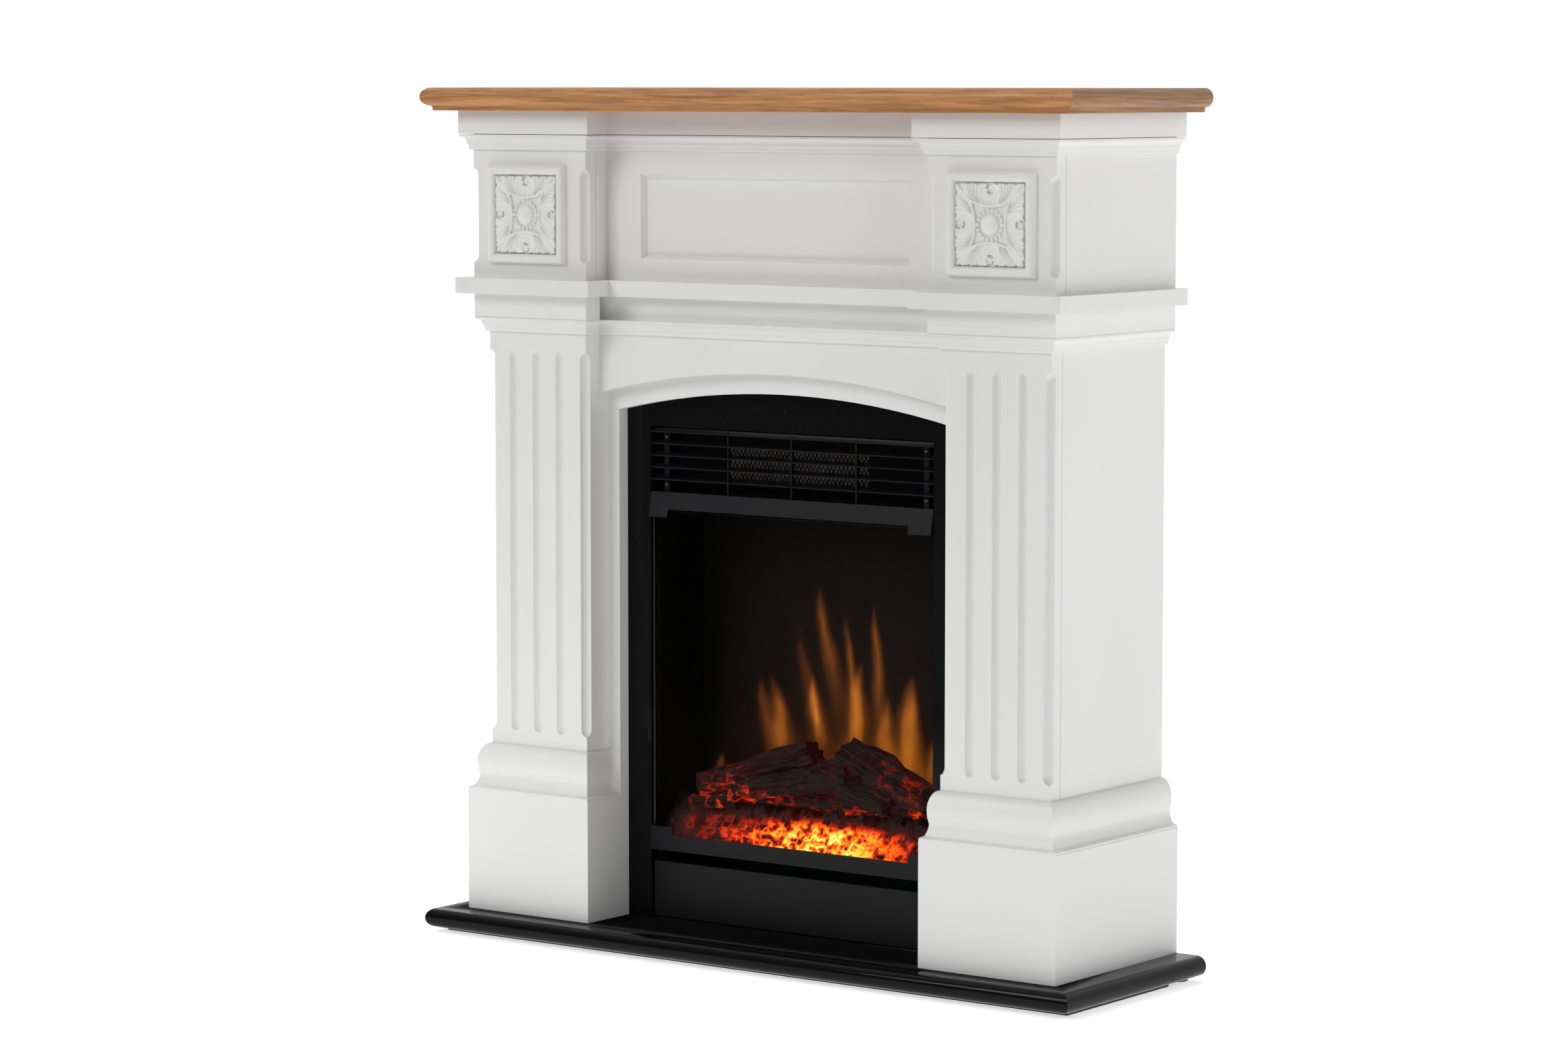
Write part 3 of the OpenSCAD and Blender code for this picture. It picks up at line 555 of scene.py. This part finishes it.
base_board = Finish("black_edged_board", Roughness=0.6)
base_board.drive(Base_Color=base_board.ramp(base_board.noise((6.0, 90.0, 90.0)),
                                            ((0.3, (0.018, 0.018, 0.018)), (0.8, (0.045, 0.043, 0.04)))))
base_board.bump(base_board.noise(500.0), 0.0001)
dress(base_board, "hearth_base")
glide_wood = Finish("stained_glides", Roughness=0.5)
glide_wood.drive(Base_Color=glide_wood.ramp(glide_wood.noise((30.0, 400.0, 400.0)),
                                            ((0.3, (0.05, 0.03, 0.02)), (0.8, (0.12, 0.075, 0.045)))))
glide_wood.bump(glide_wood.noise((60.0, 700.0, 700.0)), 0.0001)
dress(glide_wood, "hearth_glides")


# ---- Steel of the insert ---------------------------------------------------------------------------
# Folded sheet with a satin black powder coat: the case, the louvre, the hood, the fret and the kick
# panel. The coat has a fine even texture; unpainted inner parts are bare galvanised sheet.

def powder_finish(name, colour, sheen, shine=0.2):
    """Powder coat: an even fine texture with a slow drift of sheen."""
    coat = Finish(name, Roughness=sheen, Specular_IOR_Level=shine)
    grain = coat.noise(900.0, detail=2.0)
    lighter = tuple(1.5 * c for c in colour)
    coat.drive(Base_Color=coat.mix(grain.rise(0.4, 0.75), colour, lighter),
               Roughness=coat.noise(11.0) * 0.14 + (sheen - 0.07))
    return coat.bump(grain, 0.00009)


def bare_metal_finish(name, colour, sheen, run=0):
    """Rolled or cast bare metal with fine lines along one axis."""
    metal = Finish(name, Metallic=1.0, Roughness=sheen)
    lines = metal.noise([6.0 if a == run else 420.0 for a in range(3)], detail=3.0)
    metal.drive(Base_Color=metal.mix(metal.noise(24.0), colour, tuple(0.72 * c for c in colour)),
                Roughness=lines * 0.3 + (sheen - 0.12))
    return metal.bump(lines, 0.00006)


steel = powder_finish("satin_black_powder_coat", (0.0042, 0.0044, 0.0058), 0.42)
inner_steel = powder_finish("black_inner_sheet", (0.0016, 0.0016, 0.0018), 0.6, 0.06)
zinc_sheet = bare_metal_finish("galvanised_sheet", (0.50, 0.52, 0.54), 0.42, run=2)
bright_alloy = bare_metal_finish("bright_alloy", (0.82, 0.82, 0.83), 0.3)
motor_steel = bare_metal_finish("rolled_motor_steel", (0.42, 0.42, 0.43), 0.4)
dress(steel, "louvre_grille", "canopy_trim", "lower_fret", "kick_panel")
dress(inner_steel, "firebox_case")
dress(zinc_sheet, "firebox_back", "fan_housing")
dress(bright_alloy, "fan_impeller", "flame_spindle")
dress(motor_steel, "fan_motor", "spindle_motor")


# ---- Warm air outlet -------------------------------------------------------------------------------
# Behind the louvre a black bulkhead has a window covered by expanded metal, and behind that stand the
# pleated bright fins of the heater between two mica rails. Cross-head screws hold the grille.

guard_low, guard_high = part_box("heater_guard")
heater_low, heater_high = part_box("heater_element")
window_x = (heater_low.x - 0.002, heater_high.x + 0.002)
window_z = (heater_low.z + 0.004, heater_high.z - 0.002)


def bar(low, high):
    """A straight bar between two corners, as four edges carried along X."""
    (x0, y0, z0), (x1, y1, z1) = low, high
    return carried([(y0, z0), (y1, z0), (y1, z1), (y0, z1)], [(x0, 0, 0), (x1, 0, 0)],
                   [(0, 1, 0), (0, 1, 0)], UP)


def expanded_metal(x_range, z_range, y, cell_w, cell_h, strand):
    """Mirrored zigzag strands that meet at their peaks: z = row +- half a cell at every half cell of x."""
    steps = int((x_range[1] - x_range[0]) / cell_w * 2)
    xs = np.linspace(*x_range, steps + 1)
    rows = np.arange(z_range[0] + cell_h / 2, z_range[1], cell_h)
    strands = []
    for row in rows:
        for side in (-1, 1):
            zs = row + side * (cell_h / 2) * np.where(np.arange(steps + 1) % 2, 1, -1)
            stops = np.stack([xs, np.full_like(xs, y), np.clip(zs, *z_range)], 1)
            ends = [(0, 1, 0)] * len(stops)
            strands.append(carried([(0, 0), (strand, 0), (strand, strand), (0, strand)], stops, ends, UP))
    return strands


y0, y1 = guard_low.y, guard_high.y
plates = [bar((guard_low.x, y0, guard_low.z), (guard_high.x, y1, window_z[0])),
          bar((guard_low.x, y0, window_z[1]), (guard_high.x, y1, guard_high.z)),
          bar((guard_low.x, y0, window_z[0]), (window_x[0], y1, window_z[1])),
          bar((window_x[1], y0, window_z[0]), (guard_high.x, y1, window_z[1]))]
strands = expanded_metal(window_x, window_z, y0, cell_w=0.0122, cell_h=0.0094, strand=0.0011)
guard = solid("heater_guard_mesh", *joined(*plates, *strands), inner_steel)
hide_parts("heater_guard")

fin_pitch = 0.0026
fin_x = np.arange(heater_low.x + 0.001, heater_high.x - 0.001, fin_pitch / 2)
fin_y = heater_low.y + np.where(np.arange(len(fin_x)) % 2, 0.010, 0.0015)
pleats = carried([(0, heater_low.z + 0.003), (0.0004, heater_low.z + 0.003),
                  (0.0004, heater_high.z - 0.003), (0, heater_high.z - 0.003)],
                 np.stack([fin_x, fin_y, np.zeros_like(fin_x)], 1), [(0, 1, 0)] * len(fin_x), UP)
rails = [bar((heater_low.x, heater_low.y, z), (heater_high.x, heater_high.y, z + 0.004))
         for z in (heater_low.z, heater_high.z - 0.004)]
fin_metal = bare_metal_finish("heater_fin_alloy", (0.92, 0.89, 0.83), 0.45, run=2)
heater = solid("heater_fins", *joined(pleats, *rails), fin_metal, crease=20.0)
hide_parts("heater_element")

screw_low, screw_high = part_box("grille_screws")
head_r, head_t = 0.0036, 0.0024


def cross_head(u, v):
    """A shallow dome, with a cross sunk into it: height falls where either arm is near."""
    span = np.hypot(u, v)
    dome = head_t * np.sqrt(np.clip(1 - (span / 1.02) ** 2.4, 0.02, 1))
    arm = (np.minimum(np.abs(u), np.abs(v)) < 0.13) & (span < 0.62)
    return np.where(span > 1.0, 0.0, np.where(arm, dome * 0.45, dome))


head_points, head_faces = relief(head_r, cross_head, 34)
square_to_round = np.maximum(np.abs(head_points[:, :2]).max(1), 1e-9) / np.maximum(
    np.hypot(head_points[:, 0], head_points[:, 1]), 1e-9)
screws = []
for x in (screw_low.x + head_r, screw_high.x - head_r):
    for z in (screw_low.z + head_r, screw_high.z - head_r):
        flat = head_points[:, :2] * square_to_round[:, None]
        depth = screw_low.y + head_t - head_points[:, 2]
        screws.append((np.stack([x + flat[:, 0], depth, z + flat[:, 1]], 1), head_faces))
zinc = bare_metal_finish("zinc_screws", (0.20, 0.20, 0.195), 0.4)
screw_set = solid("grille_screw_heads", *joined(*screws), zinc, crease=40.0)
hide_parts("grille_screws")


# ---- Front glass -----------------------------------------------------------------------------------
# One pane of clear toughened glass with ground and polished edges, which look green from the side. It
# stands in the fret and passes up behind the hood, where its top edge catches the light in the notch.

glass_low, glass_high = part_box("glass_pane")
# Real glass is about 1.5. The low index keeps a veil of reflected floor off the fire.
clear = Finish("clear_glass", Base_Color=(0.97, 1.0, 0.99), Roughness=0.0, IOR=1.05, Transmission_Weight=1.0)
clear.drive(Roughness=clear.noise(4.0).rise(0.55, 0.8) * 0.012)
edge_green = Finish("polished_green_edge", Roughness=0.18, IOR=1.5)
edge_green.drive(Base_Color=edge_green.mix(edge_green.noise(90.0), (0.012, 0.026, 0.024),
                                           (0.03, 0.06, 0.055)))
arris = 0.0006
glass_t = glass_high.y - glass_low.y
x0, z0, x1, z1 = glass_low.x, glass_low.z, glass_high.x, glass_high.z
section = [(0, arris), (arris, 0), (glass_t - arris, 0), (glass_t, arris)]
points = [(x + (inset if x == x0 else -inset), glass_low.y + depth, z + (inset if z == z0 else -inset))
          for x, z in ((x0, z0), (x1, z0), (x1, z1), (x0, z1)) for depth, inset in section]
edge = [[i * 4 + j, ((i + 1) % 4) * 4 + j, ((i + 1) % 4) * 4 + j + 1, i * 4 + j + 1]
        for i in range(4) for j in range(3)]
pane = solid("front_glass", points, edge + [[0, 4, 8, 12], [3, 7, 11, 15]], clear, crease=10.0)
pane.data.materials.append(edge_green.material)
for face in pane.data.polygons:
    face.material_index = 0 if abs(face.normal.y) > 0.99 else 1
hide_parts("glass_pane")


# ---- Fuel bed --------------------------------------------------------------------------------------
# A vacuum formed, translucent resin bed lit from below: embers that glow yellow at the front and sink
# to dark red char behind, with hollow cast logs, split at their ends, lying across it.

def lattice(points, seed):
    """Smooth value noise from 0 to 1: random numbers on whole points, blended with 3t^2 - 2t^3."""
    cell = np.floor(points).astype(np.int64)
    part = points - cell
    ease = part * part * (3 - 2 * part)
    total = 0.0
    for corner in np.ndindex(2, 2, 2):
        key = cell + corner
        mixed = (key[..., 0] * 73856093) ^ (key[..., 1] * 19349663)
        mixed = mixed ^ (key[..., 2] * 83492791) ^ (seed * 2654435)
        value = ((mixed * 1103515245 + 12345) >> 8 & 0xFFFF) / 65535.0
        weight = np.prod(np.where(np.array(corner), ease, 1 - ease), -1)
        total = total + value * weight
    return total


def rough(points, seed, octaves=4):
    """Layers of value noise, each twice as fine and half as strong, from 0 to 1."""
    layers = [lattice(points * 2.0 ** k, seed + k) * 0.5 ** k for k in range(octaves)]
    return sum(layers) / (2 - 0.5 ** (octaves - 1))


def near(value, middle, reach):
    """1 at the middle, falling smoothly to 0 at that reach: 3t^2 - 2t^3."""
    t = np.clip(1 - np.abs(value - middle) / reach, 0, 1)
    return t ** 2 * (3 - 2 * t)


def paint_points(piece, name, values):
    """Stores one number for each vertex."""
    layer = piece.data.attributes.new(name, "FLOAT", "POINT")
    layer.data.foreach_set("value", np.asarray(values, np.float32))


HEAT_STOPS = ((0.0, (0.0, 0.0, 0.0)), (0.22, (0.02, 0.0006, 0.0)), (0.42, (0.26, 0.006, 0.0)),
              (0.58, (0.80, 0.045, 0.001)), (0.72, (1.0, 0.19, 0.004)), (0.87, (1.0, 0.46, 0.03)),
              (1.0, (1.0, 0.76, 0.16)))


def glowing_finish(name, char, strength, sheen):
    """Char colour where the glow attribute is low, with emission that climbs the heat colours."""
    glow = Finish(name, Roughness=sheen, Emission_Strength=strength, Specular_IOR_Level=0.2)
    heat = glow.attribute("glow")
    speckle = glow.noise(330.0, detail=3.0)
    glow.drive(Base_Color=glow.mix(speckle, char, tuple(2.6 * c for c in char)),
               Emission_Color=glow.ramp(heat + (speckle - 0.5) * 0.16, HEAT_STOPS),
               Roughness=speckle * 0.3 + (sheen - 0.15))
    return glow.bump(speckle, 0.0005)


bed_low, bed_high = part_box("ember_bed")
HEARTH_Z = slab_high.z


def bed_height(x, y):
    """Rises from the fret as a bank, then runs level, all broken into lumps and pits."""
    run = (y - bed_low.y) / (bed_high.y - bed_low.y)
    spots = np.stack([x * 62, y * 62, np.zeros_like(x)], -1)
    lumps = (1 - np.abs(2 * rough(spots, 5, 5) - 1)) ** 1.4
    bank = np.clip(run / 0.42, 0, 1) ** 0.65
    return bed_low.z + 0.004 + (bed_high.z - bed_low.z - 0.004) * bank * (0.62 + 0.38 * lumps)


rows = bed_low.y + (bed_high.y - bed_low.y) * np.linspace(0, 1, 110) ** 1.7
xs, ys = np.meshgrid(np.linspace(bed_low.x, bed_high.x, 330), rows, indexing="ij")
embers = backed(np.stack([xs, ys, bed_height(xs, ys)], -1), lambda rim: rim * (1, 1, 0) + (0, 0, bed_low.z))
ember_glow = glowing_finish("glowing_ember_resin", (0.003, 0.0014, 0.0010), 1.5, 0.6)
bed = solid("ember_bed_cast", *embers, ember_glow, crease=60.0)
co = np.array([v.co for v in bed.data.vertices])
fine = rough(co * (260, 170, 260), 11, 4)
clump = rough(co * (70, 50, 90), 23, 3)
vein = (1 - np.abs(2 * rough(co * (110, 70, 130), 31, 4) - 1)) ** 2
front = np.clip(1.3 - (co[:, 1] - bed_low.y) / 0.034, 0, 1)
front *= np.clip((bed_low.z + 0.056 - co[:, 2]) / 0.016, 0, 1)
core = 0.24 + 0.76 * np.exp(-((co[:, 0] - 0.03) / 0.135) ** 2)
heat = front * core * np.clip(2.5 * (0.5 * clump + 0.22 * fine + 0.40 * vein) - 0.80, 0, 1.05)
heat += 0.30 * (1 - front) * vein ** 3 * clump * near(co[:, 0], 0.0, 0.19)
heat *= np.clip((0.206 - np.abs(co[:, 0])) / 0.03, 0, 1) * (co[:, 2] > bed_low.z + 0.002)
paint_points(bed, "glow", np.clip(heat, 0, 1))
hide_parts("ember_bed")


def log_shape(start, end, radius, seed, turns=84, rings=150):
    """Rough bark round a straight axis: noise stretched along the log varies the radius, 0 at both ends."""
    start, end = np.array(start, float), np.array(end, float)
    axis = (end - start) / np.linalg.norm(end - start)
    side = np.cross(axis, (0, 1, 0.2))
    side /= np.linalg.norm(side)
    third = np.cross(axis, side)
    s = np.concatenate([np.zeros(10), np.linspace(0, 1, rings - 20), np.ones(10)])
    closing = np.linspace(0, 1, 11)[:-1] ** 0.8
    shrink = np.concatenate([closing, np.ones(rings - 20), closing[::-1]])
    a = np.linspace(0, math.tau, turns, endpoint=False)
    s, a = np.meshgrid(s, a, indexing="ij")
    shrink = np.repeat(shrink[:, None], turns, 1)
    length = np.linalg.norm(end - start)
    about = np.stack([np.cos(a) * 2.2, np.sin(a) * 2.2, s * length * 16 + seed], -1)
    plates = rough(about * (1, 1, 1), seed, 5)
    cracks = 1 - np.abs(2 * rough(about * (2.2, 2.2, 0.9), seed + 7, 4) - 1)
    r = radius * shrink * (0.70 + 0.66 * plates - 0.26 * cracks ** 3) * (1.0 - 0.12 * np.cos(s * 3 + seed))
    wander = radius * 0.25 * (rough(np.stack([s * 3, s * 0, s * 0 + seed], -1), seed, 2) - 0.5)
    tip = (rough(np.stack([np.cos(a) * shrink * 3, np.sin(a) * shrink * 3, s * 9], -1), seed + 3, 4) - 0.5)
    ends = np.where((s <= 0) | (s >= 1), 1.0, 0.0) * tip * radius * 0.35
    points = (start + axis * (s * length + ends)[..., None] + side * (r * np.cos(a))[..., None]
              + third * (r * np.sin(a) + wander)[..., None])
    i, j = (k.ravel() for k in np.meshgrid(np.arange(rings - 1), np.arange(turns), indexing="ij"))
    j2 = (j + 1) % turns
    faces = np.stack([i * turns + j, (i + 1) * turns + j, (i + 1) * turns + j2, i * turns + j2], 1).tolist()
    return points.reshape(-1, 3), faces


LOGS = (  # start and end as (x, y from the middle of the bed, height above the hearth), radius, seed
    ((-0.186, 0.000, 0.146), (-0.008, 0.006, 0.222), 0.029, 3),
    ((0.040, 0.008, 0.230), (0.190, -0.004, 0.158), 0.028, 8),
    ((-0.092, -0.022, 0.158), (0.060, -0.016, 0.192), 0.021, 14),
    ((-0.150, 0.004, 0.148), (0.165, 0.002, 0.150), 0.027, 37),
    ((-0.040, 0.002, 0.182), (0.082, 0.004, 0.188), 0.027, 52),
    ((0.004, -0.018, 0.196), (0.128, -0.026, 0.148), 0.019, 21),
    ((-0.196, -0.030, 0.124), (-0.118, -0.028, 0.132), 0.013, 30))
log_low, log_high = (np.array(corner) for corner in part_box("log_set"))
bed_middle = np.array((0, log_low[1] + 0.030, HEARTH_Z))
log_glow = glowing_finish("charred_log_resin", (0.0034, 0.0017, 0.0014), 1.0, 0.6)
bark, bark_faces = joined(*[log_shape(bed_middle + start, bed_middle + end, radius, seed)
                            for start, end, radius, seed in LOGS])
bark = log_low + (bark - bark.min(0)) / np.ptp(bark, axis=0) * (log_high - log_low)
log_pile = solid("log_set_cast", bark, bark_faces, log_glow, crease=70.0)
co = np.array([v.co for v in log_pile.data.vertices])
spots = np.stack([co[:, 0] * 75, co[:, 1] * 75, co[:, 2] * 100], 1)
vein = 1 - np.abs(2 * rough(spots, 41, 5) - 1)
patch = rough(co * 26, 47, 3)
below = np.clip(1.2 - (co[:, 2] - log_low[2]) / (log_high[2] - log_low[2]), 0.35, 1)
cracks = 0.70 * vein ** 6 * np.clip(2.4 * patch - 0.55, 0, 1.1) * below
paint_points(log_pile, "glow", np.clip(cracks, 0, 0.56))
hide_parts("log_set")


# ---- Flame picture ---------------------------------------------------------------------------------
# A translucent screen behind the logs. Light from the turning spindle falls on it through flame shaped
# slots, so tongues of light climb it, brightest low down, over a weave of very fine dots.

FLAMES = (  # spine in mm from base to tip as (x, height above the hearth), half width in mm, brightness
    (((-2, 285), (-14, 330), (-24, 376), (-28, 436)), 13.0, 0.62),
    (((-30, 240), (-46, 300), (-57, 343), (-61, 385)), 12.0, 0.36),
    (((26, 240), (25, 286), (18, 330), (12, 372), (14, 405)), 9.0, 0.56),
    (((18, 215), (30, 262), (28, 298), (36, 338)), 14.0, 0.68),
    (((66, 260), (62, 316), (57, 350), (56, 378), (55, 415)), 9.5, 0.66),
    (((-104, 215), (-114, 262), (-118, 285), (-122, 312)), 13.0, 0.50),
    (((-82, 190), (-86, 225), (-90, 262), (-106, 312)), 15.0, 0.68),
    (((-28, 230), (-35, 258), (-38, 282), (-41, 312)), 9.0, 0.84),
    (((78, 200), (72, 246), (78, 294)), 13.0, 0.64),
    (((108, 170), (112, 205), (107, 262), (110, 326)), 17.0, 0.84),
    (((-196, 158), (-188, 180), (-180, 206)), 9.0, 0.56),
    (((140, 180), (146, 215), (152, 254)), 14.0, 0.50))

screen_low, screen_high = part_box("flame_screen")
screen_x, screen_z = np.meshgrid(np.linspace(screen_low.x, screen_high.x, 330),
                                 np.linspace(screen_low.z, screen_high.z, 270), indexing="ij")
screen_y = screen_low.y


def flame_light(x, z):
    """Sum of tongues: each fades from its spine to its edges, and along the spine from base to tip."""
    warp = 0.010 * (rough(np.stack([x * 34, z * 16, x * 0], -1), 61, 3) - 0.5)
    light = np.zeros_like(x)
    for spine, width, bright in FLAMES:
        along = np.array(spine, float) / 1000
        place = (z - HEARTH_Z - along[0, 1]) / (along[-1, 1] - along[0, 1])
        middle = np.interp(z - HEARTH_Z, along[:, 1], along[:, 0])
        taper = np.clip(1 - np.clip(place, 0, 1) ** 1.7, 0, 1) ** 0.8
        half_width = np.maximum(width / 1000 * (0.12 + 0.88 * taper), 1e-4)
        body = np.exp(-(0.86 * (x + warp - middle) / half_width) ** 2)
        fade = np.clip(place * 1.6 + 0.45, 0, 1) * np.clip((1 - place) * 3.0, 0, 1) ** 0.7
        light = 1 - (1 - light) * (1 - 0.70 * bright * body * fade * ((place > -0.3) & (place < 1)))
    streaks = 0.72 + 0.6 * rough(np.stack([x * 75, z * 9, x * 0], -1), 67, 3)
    haze = 0.52 * np.exp(-np.clip(z - HEARTH_Z - 0.17, 0, 1) / 0.085) * near(x, 0.03, 0.25)
    return np.clip(light * streaks + haze * (1 - light), 0, 1) * np.clip((0.205 - np.abs(x)) / 0.02, 0, 1)


screen_t = screen_high.y - screen_low.y
picture = backed(np.stack([screen_x, np.full_like(screen_x, screen_y), screen_z], -1),
                 lambda rim: rim + (0, screen_t, 0))
film = Finish("flame_screen_film", Roughness=0.6, Emission_Strength=1.0, Specular_IOR_Level=0.1)
heat = film.attribute("glow")
weave = ((film.axis(0) * 3900.0).math("SINE") * (film.axis(2) * 3900.0).math("SINE")) * 0.08 + 0.95
film.drive(Base_Color=film.mix(film.noise(300.0), (0.0010, 0.0008, 0.0008), (0.0022, 0.0016, 0.0014)),
           Emission_Color=film.ramp(heat * weave, (
               (0.0, (0.0, 0.0, 0.0)), (0.16, (0.010, 0.002, 0.0004)), (0.38, (0.095, 0.024, 0.003)),
               (0.62, (0.36, 0.095, 0.008)), (0.82, (0.72, 0.24, 0.018)), (1.0, (0.95, 0.46, 0.06)))))
screen = solid("flame_picture", *picture, film, crease=60.0)
co = np.array([v.co for v in screen.data.vertices])
paint_points(screen, "glow", np.where(co[:, 1] < screen_y + 0.0005, flame_light(co[:, 0], co[:, 2]), 0.0))
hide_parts("flame_screen")


# ---- Lamps and switches ----------------------------------------------------------------------------
# The lamp board behind the fuel bed is plain green laminate, and the switches are glossy black rockers
# in a moulded housing.

board_green = Finish("green_laminate", Roughness=0.35, Coat_Weight=0.4)
board_green.drive(Base_Color=board_green.ramp(board_green.noise((300.0, 300.0, 300.0)),
                                              ((0.4, (0.01, 0.09, 0.035)), (0.7, (0.02, 0.16, 0.06)))))
dress(board_green, "led_board")
moulded_black = powder_finish("moulded_black_plastic", (0.012, 0.012, 0.012), 0.5)
rocker_black = powder_finish("glossy_black_rocker", (0.009, 0.009, 0.009), 0.22)
dress(moulded_black, "switch_housing")
dress(rocker_black, "flame_switch", "low_heat_switch", "high_heat_switch")
